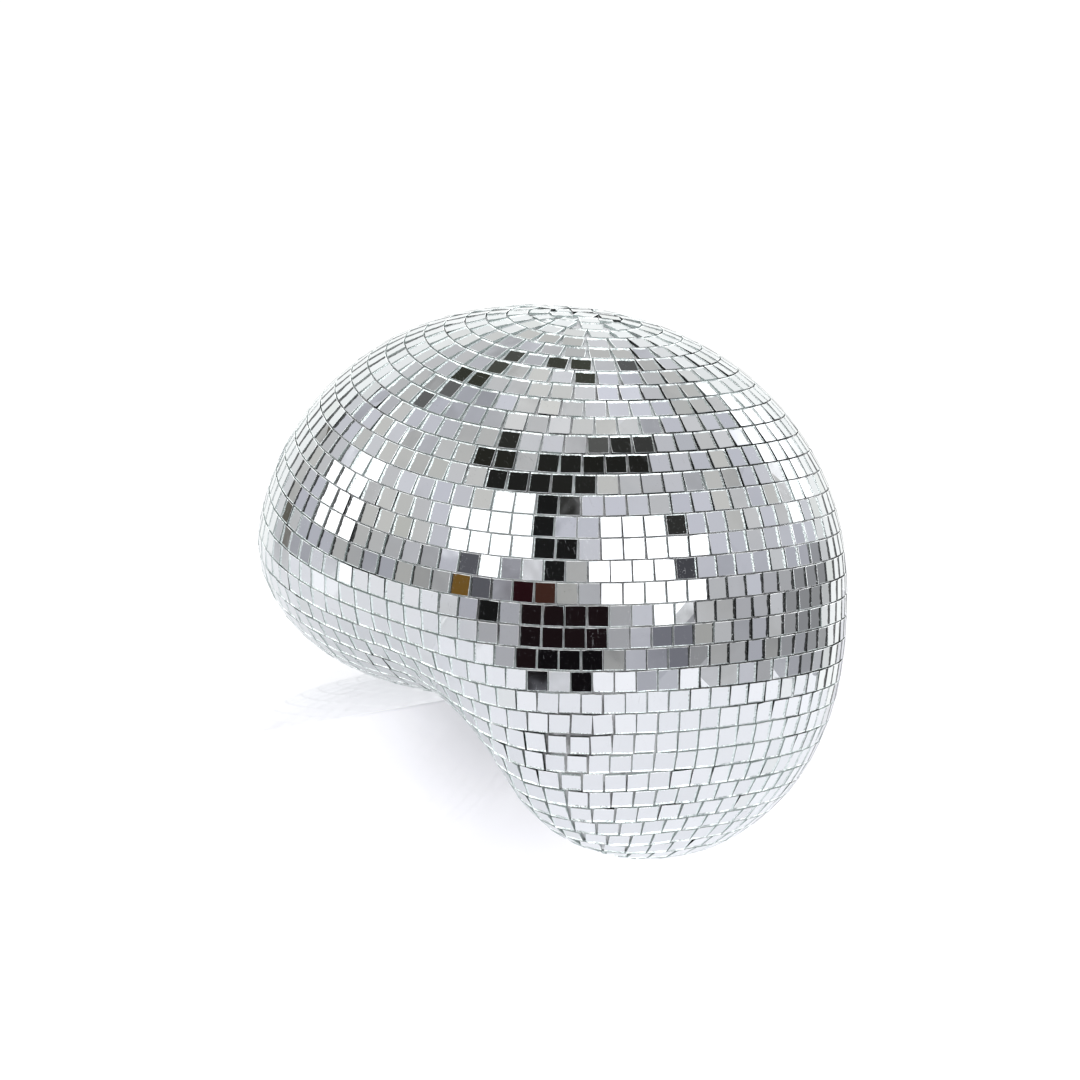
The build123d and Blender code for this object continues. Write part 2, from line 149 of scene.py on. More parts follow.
# ------------------------------------------------------------------ tile materials
def sheet_tint(tree):
    """Each tile is cut from a slightly different sheet, and a few stand out."""
    random = tree.attribute("tile", "Fac")
    tint = tree.mix(tree.ramp(random, over=(0.0, 1.0), smooth=False),
                    rgb(0.765, 0.775, 0.80), rgb(0.865, 0.87, 0.89))
    odd = tree.ramp(random, over=(0.955, 0.965))
    return tree.mix(tree.mul(odd, 0.55), tint, rgb(0.66, 0.68, 0.66))


def face_wear(tree, point):
    """Marks (dust and fine scratches) and finger haze."""
    specks = tree.ramp(tree.noise(point, scale=1500.0, detail=2.0, rough=0.6), over=(0.665, 0.72))
    haze = tree.ramp(tree.noise(point, scale=160.0, detail=4.0, rough=0.6), over=(0.56, 0.80))
    drawn = tree.stretch(point, scale=(2400.0, 90.0, 160.0), rotation=(0.5, 0.2, 0.9))
    scratch = tree.ramp(tree.noise(drawn, scale=1.0, detail=1.0, rough=0.5), over=(0.735, 0.75))
    return tree.math("MAXIMUM", tree.mul(specks, 0.55), tree.mul(scratch, 0.35)), haze


def edge_turn(tree, point, geometry):
    """The silver is behind the glass, so near an edge the view turns back off the glass's
    side wall before it leaves: along that strip one sideways direction is swapped.
    Returns the turned normal and a 0 or 1 strip for each side direction."""
    normal, look = geometry["True Normal"], geometry["Incoming"]
    across = tree.attribute("te")
    along = tree.vector("CROSS_PRODUCT", normal, across)
    half_size = tree.split(tree.attribute("ts"))
    offset = tree.vector("SUBTRACT", geometry["Position"], tree.attribute("tc"))
    outward = tree.dot(look, normal)
    views = tree.dot(look, across), tree.dot(look, along)
    squares = [tree.mul(view, view) for view in views]
    sideways = tree.math("DIVIDE", tree.add(*squares), GLASS_IOR ** 2)
    # apparent depth of the silver in metres, uneven along the snapped wall
    depth = tree.ramp(tree.noise(point, scale=330.0, detail=2.0, rough=0.6),
                      over=(0.32, 0.68), to=(0.0024, 0.0035), smooth=False)
    reach = tree.math("DIVIDE", tree.math("DIVIDE", depth, GLASS_IOR),
                      tree.math("SQRT", tree.math("SUBTRACT", 1.0, sideways)))
    strips, sides = [], []
    for view, side, half in zip(views, (across, along), half_size):
        landing = tree.math("SUBTRACT", tree.dot(offset, side), tree.mul(view, reach))
        strips.append(tree.math("GREATER_THAN", tree.math("ABSOLUTE", landing), half))
        sides.append(tree.vector("SCALE", side, scale=tree.mul(view, strips[-1])))
    turned = tree.vector("ADD", tree.vector("SCALE", normal, scale=outward),
                         tree.vector("ADD", *sides))
    return tree.vector("NORMALIZE", turned), strips


def side_wall_with_painted_reflection(tree, turned, look, strips, snap):
    """Snapped side wall, with a painted reflection: where the view turned back off the wall comes
    out level, the colour is painted near black for the dark camera side.
    """
    # painted reflection of the dark camera side: the view turned back off the wall, and how level it
    # leaves
    back = tree.vector("SUBTRACT", tree.vector(
        "SCALE", turned, scale=tree.mul(tree.dot(turned, look), 2.0)), look)
    rise = tree.split(back)[2]
    level = tree.mul(tree.ramp(rise, over=(-0.28, -0.25)),
                     tree.ramp(rise, over=(0.08, 0.12), to=(1.0, 0.0)))
    level = tree.mul(level, tree.mul(strips[0], tree.math("SUBTRACT", 1.0, strips[1])))
    level = tree.mul(level, tree.ramp(snap, over=(0.60, 0.70), to=(1.0, 0.35)))
    wall = tree.mix(tree.ramp(snap, over=(0.3, 0.7)), rgb(0.66, 0.75, 0.73), rgb(0.93, 0.97, 0.97))
    return tree.mix(tree.mul(level, 0.96), wall, rgb(0.012, 0.012, 0.012))


def mirror_face():
    """Silvered float glass seen through its clear front."""
    mat, tree, point = material("mirror_glass_face")
    tint = sheet_tint(tree)
    marks, haze = face_wear(tree, point)
    front = tree.mix(marks, tint, rgb(0.70, 0.70, 0.71))
    rough = tree.add(tree.mul(haze, 0.045), 0.012)
    rough = tree.add(rough, tree.mul(marks, 0.35))
    geometry = tree.node("NewGeometry").outputs
    turned, strips = edge_turn(tree, point, geometry)
    strip = tree.math("MAXIMUM", *strips)
    snap = tree.noise(point, scale=700.0, detail=3.0, rough=0.65)
    # the strips' wall colour carries a painted reflection of the dark camera side
    wall = side_wall_with_painted_reflection(tree, turned, geometry["Incoming"], strips, snap)
    # painted highlight: glowing patches in the strips of tiles that face up or down
    slope = tree.math("ABSOLUTE", tree.split(geometry["True Normal"])[2])
    shine = tree.mul(tree.mul(strips[1], tree.ramp(slope, over=(0.10, 0.45))),
                     tree.ramp(tree.noise(point, scale=170.0, detail=3.0, rough=0.6),
                               over=(0.40, 0.60), to=(0.0, 0.75)))
    # the sheet isn't perfectly flat, and the snapped wall much less so
    wave = tree.noise(point, scale=95.0, detail=1.0, rough=0.4)
    flat = tree.bump(wave, strength=0.35, distance=0.00006, normal=turned)
    wavy = tree.bump(snap, strength=0.9, distance=0.00035, normal=flat)
    pick = tree.fill(tree.node("Mix", data_type="VECTOR"), {0: strip, 4: flat, 5: wavy})[1]
    tree.surface({
        "Base Color": tree.mix(strip, front, wall),
        "Metallic": 1.0,
        "Emission Strength": shine,
        "Emission Color": rgb(0.98, 1.0, 1.0),
        "Roughness": tree.add(rough, tree.mul(strip, 0.10)),
        "Normal": tree.vector("NORMALIZE", pick),
        # clear glass over the silver
        "Coat Weight": 0.6,
        "Coat Roughness": 0.01,
        "Coat IOR": 1.5,
        "Coat Tint": rgb(0.955, 0.985, 0.97)})
    return mat


def side_shade(tree, point, random):
    """How dark the joints are: painted shade towards the +X, -Y flank and within a belt of heights,
    darker round the rough patch, and uneven everywhere at random.
    """
    # painted shade: darker towards the +X, -Y flank, within a belt of heights
    flank = tree.dot(point, (0.673, -0.740, 0.10))
    side = tree.ramp(flank, over=(0.020, 0.085), to=(0.0, 0.66))
    height = tree.split(point)[2]
    shade_belt = tree.mul(tree.ramp(height, over=(-0.012, 0.022)),
                    tree.ramp(height, over=(0.125, 0.165), to=(1.0, 0.35)))
    side = tree.add(tree.mul(side, shade_belt), tree.mul(shade_belt, 0.12))
    away = tree.vector("LENGTH", tree.vector("SUBTRACT", point, ROUGH_PATCH))
    side = tree.add(side, tree.ramp(away, over=(0.016, 0.044), to=(0.50, 0.0)))
    cloudy = tree.ramp(tree.noise(point, scale=26.0, detail=2.0, rough=0.5),
                       over=(0.36, 0.66), to=(-0.30, 0.34))
    each = tree.ramp(random, over=(0.0, 1.0), to=(-0.38, 0.38), smooth=False)
    return tree.add(tree.add(side, cloudy), each, clamp=True)


def glass_edge():
    """Scored and snapped edge of the glass: green-grey, darkened by the joints' painted shade and
    unevenly at random.
    """
    mat, tree, point = material("mirror_glass_edge")
    random = tree.attribute("tile", "Fac")
    grain = tree.noise(point, scale=900.0, detail=3.0, rough=0.65)
    # painted shade: the edge darkens with the joints' shade
    dark = tree.ramp(side_shade(tree, point, random), over=(0.30, 0.62))
    light = tree.mix(grain, rgb(0.30, 0.38, 0.36), rgb(0.74, 0.80, 0.79))
    fine = tree.noise(point, scale=1400.0, detail=2.0, rough=0.5)
    tree.surface({
        "Base Color": tree.mix(dark, light, rgb(0.035, 0.042, 0.040)),
        "Roughness": tree.ramp(grain, over=(0.3, 0.7), to=(0.06, 0.32)),
        "IOR": GLASS_IOR,
        "Metallic": 0.40,
        # painted glow: emission standing for light gathered by the glass that leaves through its
        # edge
        "Emission Color": rgb(0.86, 0.95, 0.93),
        "Emission Strength": tree.ramp(dark, over=(0.0, 1.0), to=(0.04, 0.0)),
        "Specular IOR Level": 0.7,
        "Normal": tree.bump(fine, strength=0.5, distance=0.00012)})
    return mat


def arris():
    """The nipped corner between face and edge: bright glass facets, here and there frosted, darkened
    by the joints' painted shade, with a painted highlight on the upper ones.
    """
    mat, tree, point = material("mirror_glass_arris")
    random = tree.attribute("tile", "Fac")
    grain = tree.noise(point, scale=1300.0, detail=3.0, rough=0.6)
    frost = tree.noise(point, scale=210.0, detail=2.0, rough=0.6)
    colour = tree.mix(tree.ramp(frost, over=(0.38, 0.62)), rgb(0.66, 0.72, 0.71), rgb(1.0, 1.0, 1.0))
    # painted shade: the arris darkens with the joints' shade
    dark = tree.ramp(side_shade(tree, point, random), over=(0.55, 0.95))
    colour = tree.mix(tree.mul(dark, 0.75), colour, rgb(0.16, 0.18, 0.18))
    # painted highlight: glow standing for overhead light caught in the upper arrises, broken up by
    # the snapped glass
    rise = tree.split(tree.node("NewGeometry").outputs["True Normal"])[2]
    lit = tree.mul(tree.ramp(rise, over=(0.30, 0.80)),
                   tree.ramp(tree.noise(point, scale=150.0, detail=3.0, rough=0.6),
                             over=(0.42, 0.56)))
    tree.surface({
        "Base Color": colour,
        "Roughness": tree.ramp(grain, over=(0.3, 0.7), to=(0.05, 0.30)),
        "Metallic": 0.85,
        "Emission Strength": tree.mul(lit, 1.0),
        "Emission Color": rgb(0.98, 1.0, 1.0),
        "Specular IOR Level": 0.8,
        "Normal": tree.bump(grain, strength=0.7, distance=0.0002)})
    return mat


def tile_back():
    """Grey protective paint behind the silver."""
    mat, tree, point = material("mirror_back_paint")
    grain = tree.noise(point, scale=420.0, detail=3.0, rough=0.6)
    tree.surface({
        "Base Color": tree.mix(grain, rgb(0.16, 0.17, 0.17), rgb(0.26, 0.27, 0.27)),
        "Roughness": 0.6,
        "Normal": tree.bump(grain, strength=0.4, distance=0.0001)})
    return mat


# ------------------------------------------------------------------ other materials
def shell_skin():
    """Moulded shell in pale primer, darker between the tiles: patches of grey adhesive and the
    joints' painted shade.
    """
    mat, tree, point = material("shell_skin")
    grain = tree.noise(point, scale=420.0, detail=4.0, rough=0.6, distortion=0.4)
    stain = tree.noise(point, scale=38.0, detail=3.0, rough=0.5)
    colour = tree.mix(grain, rgb(0.74, 0.76, 0.77), rgb(0.94, 0.94, 0.95))
    colour = tree.mix(tree.ramp(stain, over=(0.45, 0.75), to=(0.0, 0.5)),
                      colour, rgb(0.62, 0.60, 0.55))
    patch = tree.ramp(tree.noise(point, scale=150.0, detail=2.0, rough=0.5),
                      over=(0.35, 0.65), smooth=False)
    # adhesive patches plus painted shade towards the +X, -Y flank
    glue_and_shade = tree.ramp(side_shade(tree, point, patch), over=(0.35, 1.10), to=(0.0, 0.72))
    tree.surface({
        "Base Color": tree.mix(glue_and_shade, colour, rgb(0.13, 0.135, 0.135)),
        "Roughness": tree.ramp(grain, over=(0.3, 0.7), to=(0.35, 0.62)),
        "Normal": tree.bump(grain, strength=0.7, distance=0.0003)})
    return mat


def raw_fibre():
    """Bare fibre, its strands drawn out along Y."""
    mat, tree, point = material("seam_band_fibre")
    strands = tree.noise(tree.stretch(point, scale=(900.0, 120.0, 900.0)),
                         scale=1.0, detail=4.0, rough=0.7, distortion=0.6)
    tree.surface({
        "Base Color": tree.mix(strands, rgb(0.52, 0.47, 0.34), rgb(0.74, 0.71, 0.60)),
        "Roughness": 0.45,
        "Normal": tree.bump(strands, strength=0.6, distance=0.0003)})
    return mat


def cast_iron():
    """Dark cast iron with rust in the grain."""
    mat, tree, point = material("ballast_cast_iron")
    grain = tree.noise(point, scale=600.0, detail=4.0, rough=0.7)
    cloud = tree.noise(point, scale=60.0, detail=3.0, rough=0.5)
    colour = tree.mix(cloud, rgb(0.055, 0.055, 0.058), rgb(0.12, 0.115, 0.11))
    tree.surface({
        "Base Color": tree.mix(tree.ramp(grain, over=(0.62, 0.74)), colour, rgb(0.20, 0.12, 0.07)),
        "Metallic": 0.7,
        "Roughness": tree.ramp(grain, over=(0.2, 0.8), to=(0.45, 0.75)),
        "Normal": tree.bump(grain, strength=0.8, distance=0.0005)})
    return mat


def zinc():
    """Zinc-plated screws."""
    mat, tree, point = material("screw_zinc")
    grain = tree.noise(point, scale=2400.0, detail=3.0, rough=0.6)
    tree.surface({
        "Base Color": tree.mix(grain, rgb(0.52, 0.54, 0.56), rgb(0.72, 0.73, 0.72)),
        "Metallic": 1.0,
        "Roughness": tree.ramp(grain, over=(0.3, 0.7), to=(0.22, 0.4)),
        "Normal": tree.bump(grain, strength=0.3, distance=0.00005)})
    return mat


def pad_rubber():
    """Black rubber with a fine pebbled skin."""
    mat, tree, point = material("seat_pad_rubber")
    grain = tree.noise(point, scale=1800.0, detail=3.0, rough=0.6)
    cloud = tree.noise(point, scale=90.0, detail=3.0, rough=0.5)
    cells = tree.fill(tree.node("TexVoronoi"), {"Vector": point, "Scale": 700.0})["Distance"]
    pebbles = tree.bump(cells, strength=0.6, distance=0.0003)
    tree.surface({
        "Base Color": tree.mix(cloud, rgb(0.018, 0.018, 0.02), rgb(0.045, 0.045, 0.047)),
        "Roughness": tree.ramp(grain, over=(0.3, 0.7), to=(0.55, 0.8)),
        "Normal": tree.bump(grain, strength=0.4, distance=0.0001, normal=pebbles)})
    return mat


TILE_MATERIALS = [mirror_face(), glass_edge(), arris(), tile_back()]
FACE, EDGE, ARRIS, BACK = range(4)      # slots in that list
MAT_SHELL, MAT_BAND, MAT_IRON = shell_skin(), raw_fibre(), cast_iron()
MAT_ZINC, MAT_PAD = zinc(), pad_rubber()


def dress(node, mat):
    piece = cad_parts[node]
    if not piece.material_slots:
        piece.data.materials.append(mat)
    for slot in piece.material_slots:
        slot.material = mat


for node, mat in (("shell_left", MAT_SHELL), ("shell_right", MAT_SHELL), ("seam_band", MAT_BAND),
                  ("ballast_block", MAT_IRON), ("ballast_screws", MAT_ZINC), ("seat_pad", MAT_PAD)):
    dress(node, mat)


# ------------------------------------------------------------------ reading the tile slabs
def shell_surface():
    """Both shell halves as one search tree; it tells which way is out for every tile."""
    verts, faces = [], []
    for node in ("shell_left", "shell_right"):
        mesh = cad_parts[node].data
        base = len(verts)
        verts += [v.co.copy() for v in mesh.vertices]
        faces += [[base + i for i in p.vertices] for p in mesh.polygons]
    return BVHTree.FromPolygons(verts, faces)


SHELL = shell_surface()


def loose_parts(mesh):
    """Corner positions of each separate part, with coincident vertices merged."""
    coords = np.empty(len(mesh.vertices) * 3)
    mesh.vertices.foreach_get("co", coords)
    coords = coords.reshape(-1, 3)
    keys, merged = np.unique(np.round(coords * 1e6).astype(np.int64), axis=0, return_inverse=True)
    merged = merged.reshape(-1)
    places = np.zeros((len(keys), 3))
    places[merged] = coords
    parent = list(range(len(keys)))

    def find(i):
        while parent[i] != i:
            parent[i] = parent[parent[i]]
            i = parent[i]
        return i

    for polygon in mesh.polygons:
        first, *others = [find(merged[i]) for i in polygon.vertices]
        for other in others:
            parent[find(other)] = find(first)
    groups = {}
    for i in range(len(keys)):
        groups.setdefault(find(i), []).append(i)
    return [places[group] for group in groups.values()]


def measure_slab(corners):
    """Centre, level side, other side, outward direction, width, height and thickness."""
    centre = corners.mean(0)
    steps = corners - corners[0]
    lengths = np.linalg.norm(steps, axis=1)
    order = np.argsort(lengths)
    thick = lengths[order[1]]            # the shortest side
    out = steps[order[1]] / thick
    in_plane = [i for i in order[2:] if abs(steps[i] @ out) < 1e-5]
    across = steps[in_plane[0]]
    width = np.linalg.norm(across)
    across = across / width
    square_on = [i for i in in_plane[1:] if abs(steps[i] @ across) < 2e-5]
    along = steps[square_on[0]]
    height = np.linalg.norm(along)
    along = along / height
    near = SHELL.find_nearest(Vector(centre))[0]
    if (centre - np.array(near)) @ out < 0:
        out = -out
    # the row direction is the more level side
    if abs(across[2]) > abs(along[2]) + 0.02:
        across, along, width, height = along, across, height, width
    if np.cross(across, along) @ out < 0:
        along = -along
    return centre, across, along, out, width, height, thick


def tile_slabs(mesh):
    """Every eight-cornered part of a mesh, ordered round the Z axis and then by height."""
    slabs = [measure_slab(part) for part in loose_parts(mesh) if len(part) == 8]
    slabs.sort(key=lambda s: (round(math.atan2(s[0][1], s[0][0]), 5), round(s[0][2], 5)))
    return slabs


# ------------------------------------------------------------------ the tiles
ARRIS_WIDTH, ARRIS_DEPTH = 0.15 * MM, 0.14 * MM
TILT = math.radians(0.75)          # tiles are pressed on by hand
TURN = 0.0035                      # radians, likewise
STRIP_MARGIN = 0.00005             # the optical side wall stands this far in from the edge
# four corners (even places) and four midpoints (odd places), as signs along the two sides
OUTLINE = ((-1, -1), (0, -1), (1, -1), (1, 0), (1, 1), (0, 1), (-1, 1), (-1, 0))


def hand_setting(centre):
    """One tile's random seed, two tilts, turn, and trims at +x, -x, +y and -y."""
    seed = float(rng.random())
    tilt_x, tilt_y = rng.normal(0, TILT, 2).clip(-2.2 * TILT, 2.2 * TILT)
    turn = rng.normal(0, TURN)
    trim = rng.uniform(0.0, 0.06, 4) * MM
    rough = math.exp(-((centre - np.array(ROUGH_PATCH)) ** 2).sum() / ROUGH_SIZE ** 2)
    if rough > 0.12:                 # the sheet of tiles bends sharply here
        tilt_x += rng.normal(0, 0.045) * rough
        tilt_y += rng.normal(0, 0.045) * rough
        turn += rng.normal(0, 0.03) * rough
        trim += rng.uniform(0.1, 0.85, 4) * MM * rough * (rng.random(4) < (0.3, 0.3, 0.5, 0.5))
    return seed, tilt_x, tilt_y, turn, trim


def tile_outline(width, height, trim):
    """The eight outline points, with slightly ragged midpoints."""
    points = []
    for k, (a, b) in enumerate(OUTLINE):
        x = a * (width / 2 - (trim[0] if a > 0 else trim[1]))
        y = b * (height / 2 - (trim[2] if b > 0 else trim[3]))
        if k % 2:
            x -= a * abs(rng.normal(0, 0.02)) * MM
            y -= b * abs(rng.normal(0, 0.02)) * MM
        points.append((x, y))
    return points


def tile_points(slab):
    """One tile's three rings of points (face, arris, back), its seed and its turn."""
    centre, across, along, out, width, height, thick = slab
    top = centre + out * thick / 2
    seed, tilt_x, tilt_y, turn, trim = hand_setting(centre)
    drop = abs(tilt_x) * width / 2 + abs(tilt_y) * height / 2
    outline = tile_outline(width, height, trim)
    chipped = [rng.random() < 0.03 for _ in range(4)]
    points = []
    for level, depth in enumerate((0.0, -ARRIS_DEPTH, -thick)):
        for k, ((x, y), (a, b)) in enumerate(zip(outline, OUTLINE)):
            z = depth
            inset = ARRIS_WIDTH if level == 0 else 0.0
            if k % 2 == 0:
                nip = 0.05 * MM
                if chipped[k // 2]:
                    nip = (0.12 + 0.22 * seed) * MM
                    if level == 0:
                        z -= 0.05 * MM
                        nip += 0.10 * MM
                    if level == 2:
                        nip *= 0.3
                inset += nip
            x, y = x - a * inset, y - b * inset
            if level < 2:
                z += tilt_x * x + tilt_y * y - drop
            x, y = x - turn * y, y + turn * x
            points.append(top + across * x + along * y + out * z)
    return points, seed, turn


def tile_faces(base):
    """Corner indices and material slot of each face of one tile."""
    face, shoulder, back = ([base + level * 8 + k for k in range(8)] for level in range(3))
    faces = [(face, FACE)]
    for k in range(8):
        j = (k + 1) % 8
        faces.append(([shoulder[k], shoulder[j], face[j], face[k]], ARRIS))
        faces.append(([back[k], back[j], shoulder[j], shoulder[k]], EDGE))
    faces.append((back[::-1], BACK))
    return faces


def build_tiles(name, slabs):
    """One mesh of tiles; its face attributes carry what the mirror material needs."""
    verts, faces = [], []
    seeds, centres, sides, half_sizes = [], [], [], []
    for slab in slabs:
        centre, across, along, out, width, height, thick = slab
        points, seed, turn = tile_points(slab)
        new_faces = tile_faces(len(verts))
        count = len(new_faces)
        verts += points
        faces += new_faces
        seeds += [seed] * count
        centres += list(centre + out * thick / 2) * count
        sides += list(across + turn * along) * count
        half_sizes += [width / 2 - STRIP_MARGIN, height / 2 - STRIP_MARGIN, seed] * count
    mesh = bpy.data.meshes.new(name)
    mesh.from_pydata([tuple(v) for v in verts], [], [corners for corners, _ in faces])
    for mat in TILE_MATERIALS:
        mesh.materials.append(mat)
    mesh.polygons.foreach_set("material_index", [slot for _, slot in faces])
    mesh.attributes.new("tile", "FLOAT", "FACE").data.foreach_set("value", seeds)
    for label, values in (("tc", centres), ("te", sides), ("ts", half_sizes)):
        mesh.attributes.new(label, "FLOAT_VECTOR", "FACE").data.foreach_set("vector", values)
    mesh.update()
    return add_object(name, mesh)


for node in sorted(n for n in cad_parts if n.startswith("mirror_")):
    piece = build_tiles("glass_" + node[7:], tile_slabs(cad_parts[node].data))
    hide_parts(node)
    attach(piece, ROOT)

# ------------------------------------------------------------------ the seat pad (mm)
PAD_LENGTH, PAD_WIDTH, PAD_RADIUS, PAD_THICK = 66.0, 44.0, 18.0, 1.65
PAD_CORNER_POINTS = 14
# eased rim from the top down to the underside: inset, height
PAD_RIM = [(0.35, PAD_THICK), (0.12, PAD_THICK - 0.06), (0.03, PAD_THICK - 0.25),
           (0.0, PAD_THICK - 0.6), (0.0, 0.55), (0.06, 0.25), (0.22, 0.07), (0.45, 0.0)]
# one anti-slip groove in the underside: inset from the groove's start, height
GROOVE = [(0.0, 0.0), (0.12, 0.10), (0.30, 0.30), (0.95, 0.30), (1.13, 0.10), (1.25, 0.0)]
GROOVE_FIRST, GROOVE_PITCH, GROOVE_COUNT = 3.2, 2.8, 5


def pad_outline(inset, z):
    """A rounded rectangle inside the pad's outline, in metres."""
    half_x, half_y = PAD_LENGTH / 2 - inset, PAD_WIDTH / 2 - inset
    r = max(min(PAD_RADIUS - inset, half_x, half_y), 0.8)
    points = []
    for side_x, side_y, start in ((1, 1, 0), (-1, 1, 90), (-1, -1, 180), (1, -1, 270)):
        for i in range(PAD_CORNER_POINTS):
            angle = math.radians(start + 90 * i / (PAD_CORNER_POINTS - 1))
            points.append(((side_x * (half_x - r) + r * math.cos(angle)) * MM,
                           (side_y * (half_y - r) + r * math.sin(angle)) * MM, z * MM))
    return points


def seat_pad():
    """A moulded rubber foot: eased rim, and anti-slip grooves round its underside."""
    rings = list(PAD_RIM)
    for k in range(GROOVE_COUNT):
        start = GROOVE_FIRST + GROOVE_PITCH * k
        rings += [(start + inset, z) for inset, z in GROOVE]
    verts, faces = [], []
    for inset, z in rings:
        verts += pad_outline(inset, z)
    n = 4 * PAD_CORNER_POINTS
    for k in range(len(rings) - 1):
        for i in range(n):
            j = (i + 1) % n
            faces.append((k * n + i, k * n + j, (k + 1) * n + j, (k + 1) * n + i))
    faces.append(tuple(range(n)))
    faces.append(tuple(range((len(rings) - 1) * n, len(rings) * n))[::-1])
    mesh = bpy.data.meshes.new("pad_moulded")
    mesh.from_pydata(verts, [], faces)
    bm = bmesh.new()
    bm.from_mesh(mesh)
    bmesh.ops.recalc_face_normals(bm, faces=bm.faces)
    bm.to_mesh(mesh)
    bm.free()
    for face in mesh.polygons:
        face.use_smooth = True
    mesh.set_sharp_from_angle(angle=math.radians(38))
    mesh.materials.append(MAT_PAD)
    return add_object("pad_moulded", mesh)


pad = seat_pad()
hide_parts("seat_pad")
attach(pad, ROOT)

# ------------------------------------------------------------------ the stage
SHELF_FRONT, SHELF_REAR = -0.012, 0.95   # y; the front is clear of the notch's flanks
SHELF_WIDTH, SHELF_HEIGHT = 1.24, 0.42
FLOOR_RADIUS = 1.5


def stage_shelf():
    """A plain white shelf block with softened edges."""
    bm = bmesh.new()
    bmesh.ops.create_cube(bm, size=1.0)
    for v in bm.verts:
        v.co = Vector((v.co.x * SHELF_WIDTH, SHELF_FRONT if v.co.y < 0 else SHELF_REAR,
                       -SHELF_HEIGHT if v.co.z < 0 else 0.0))
    bmesh.ops.bevel(bm, geom=list(bm.edges), offset=0.0015, segments=3, affect="EDGES",
                    profile=0.5)
    mesh = bpy.data.meshes.new("stage_shelf")
    bm.to_mesh(mesh)
    bm.free()
    for face in mesh.polygons:
        face.use_smooth = True
    return add_object("stage_shelf", mesh)


def stage_floor():
    bm = bmesh.new()
    bmesh.ops.create_circle(bm, cap_ends=True, segments=96, radius=FLOOR_RADIUS)
    mesh = bpy.data.meshes.new("stage_floor")
    bm.to_mesh(mesh)
    bm.free()
    item = add_object("stage_floor", mesh)
    item.location.z = -SHELF_HEIGHT
    return item


def stage_material(name, rough, coat, glow, camera_glow, contact=0.0):
    """Glowing white; `contact` is how much glow the shelf front loses beside the ornament, as a
    painted contact shadow.
    """
    mat, tree, point = material(name)
    cloud = tree.noise(point, scale=3.0, detail=3.0, rough=0.5)
    tree.surface({
        "Base Color": tree.mix(cloud, rgb(0.46, 0.46, 0.48), rgb(0.50, 0.50, 0.52)),
        "Roughness": rough,
        "Coat Weight": coat,
        "Coat Roughness": 0.004,
        "Emission Color": rgb(0.97, 0.97, 1.0)})
    seen = tree.node("LightPath").outputs["Is Camera Ray"]
    strength = tree.add(tree.mul(seen, camera_glow), glow)
    if contact:
        # painted contact shadow: the glow is dimmed where the ornament closes in the shelf front
        corner = tree.node("AmbientOcclusion", samples=12)
        open_sky = tree.fill(corner, {"Distance": 0.055})["AO"]
        facing = tree.split(tree.node("NewGeometry").outputs["Normal"])[1]
        front = tree.math("LESS_THAN", facing, -0.5)
        closed = tree.math("POWER", tree.math("SUBTRACT", 1.0, open_sky), 1.3)
        painted_contact_shadow = tree.mul(front, tree.mul(closed, contact))
        strength = tree.mul(strength, tree.math("SUBTRACT", 1.0, painted_contact_shadow))
    sheen = tree.noise(point, scale=40.0, detail=2.0, rough=0.5)
    tree.surface({
        "Emission Strength": strength,
        "Roughness": tree.ramp(sheen, over=(0.3, 0.7), to=(rough - 0.05, rough + 0.05))})
    return mat


shelf, ground = stage_shelf(), stage_floor()
shelf.data.materials.append(stage_material(
    "stage_white_gloss", rough=0.5, coat=1.0, glow=0.46, camera_glow=0.25, contact=0.55))
ground.data.materials.append(stage_material(
    "stage_white_matt", rough=0.6, coat=0.0, glow=0.52, camera_glow=0.75))


# ------------------------------------------------------------------ the lights
def soft_panel(name, azimuth, elevation, distance, size, energy, colour):
    """A large panel aimed at the ornament; degrees, azimuth from +Y towards +X."""
    light = bpy.data.lights.new(name, "AREA")
    light.shape = "RECTANGLE"
    light.size, light.size_y = size
    light.energy = energy
    light.color = colour
    light.spread = math.pi
    item = add_object(name, light)
    a, e = math.radians(azimuth), math.radians(elevation)
    ray = Vector((math.sin(a) * math.cos(e), math.cos(a) * math.cos(e), math.sin(e))) * distance
    item.location = ray + Vector((0, -0.03, 0.05))
    item.rotation_mode = "QUATERNION"
    item.rotation_quaternion = (-ray).to_track_quat("-Z", "Y")
    item.visible_glossy = False      # the mirrors show the world's softboxes instead
    item.visible_camera = False


for panel in (
    # name, azimuth, elevation, distance, size, energy, colour
    ("light_overhead", -60, 78, 2.6, (2.4, 2.4), 15, (1.0, 1.0, 1.0)),
    ("light_front", 146, 24, 2.6, (1.5, 1.5), 16, (0.99, 0.99, 1.0)),
    ("light_side", 98, 28, 2.8, (1.2, 1.4), 4, (0.98, 0.99, 1.0)),
):
    soft_panel(*panel)

